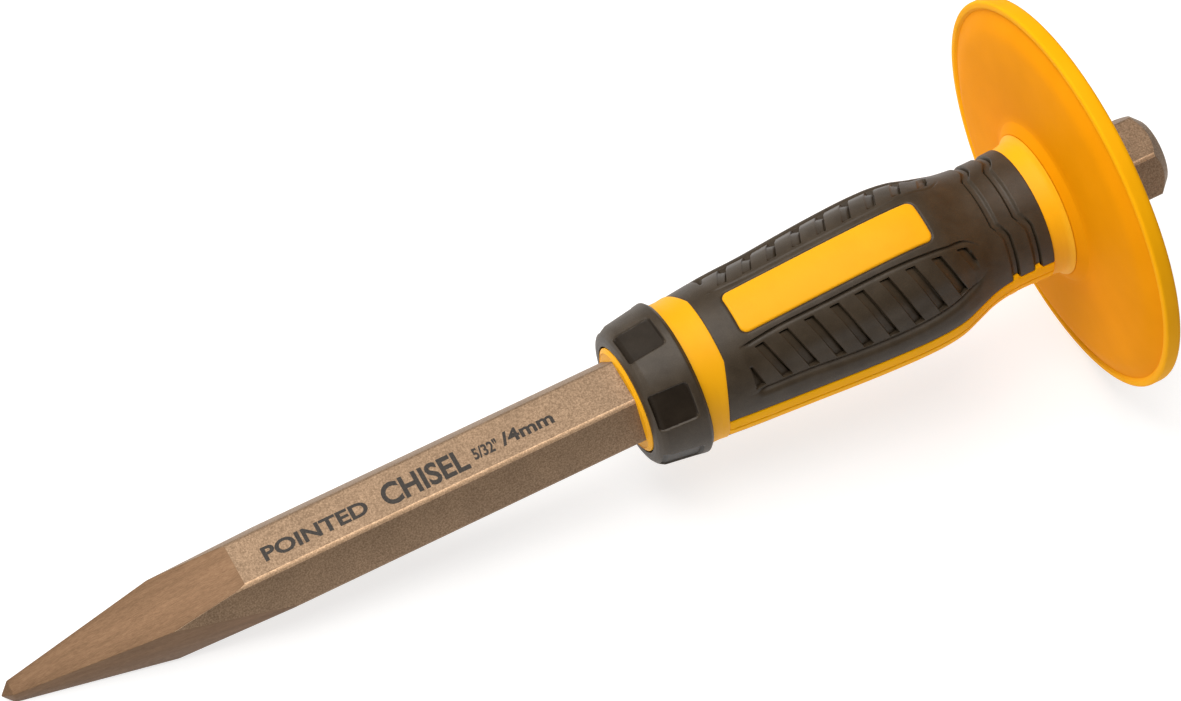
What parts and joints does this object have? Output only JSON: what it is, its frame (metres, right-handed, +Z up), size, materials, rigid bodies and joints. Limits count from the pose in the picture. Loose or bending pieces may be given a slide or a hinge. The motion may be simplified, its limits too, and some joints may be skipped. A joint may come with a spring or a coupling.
{
  "type": "cold chisel",
  "caption": "Pointed hexagonal cold chisel with a soft two-colour grip, a front collar and a round hand guard below the struck head, lying on its point and guard.",
  "frame": {"origin": "centre of the outline on the surface that the tool lies on, below the middle of its length", "axes": "+Z up, +X from the point toward the struck head, seen from above, and the tool's axis rises 10 degrees toward the head; the label faces up"},
  "size_m": [0.2968, 0.0998, 0.0986],
  "materials": {
    "lacquered_steel": "bronze lacquer over forged steel, ground on the taper",
    "yellow_plastic": "satin moulded",
    "black_rubber": "matt moulded",
    "yellow_soft_plastic": "satin moulded"
  },
  "bodies": {
    "chisel": {"chisel_bar": "lacquered_steel"},
    "grip": {"grip_core": "yellow_plastic", "front_collar": "black_rubber", "grip_shell_upper": "black_rubber", "grip_shell_lower": "black_rubber", "hand_guard": "yellow_soft_plastic"}
  },
  "joints": [
    {"name": "grip_pull_off", "type": "slide", "parent": "chisel", "child": "grip", "axis": [0.9849, 0, 0.1731], "range_m": [0, 0.145]}
  ]
}
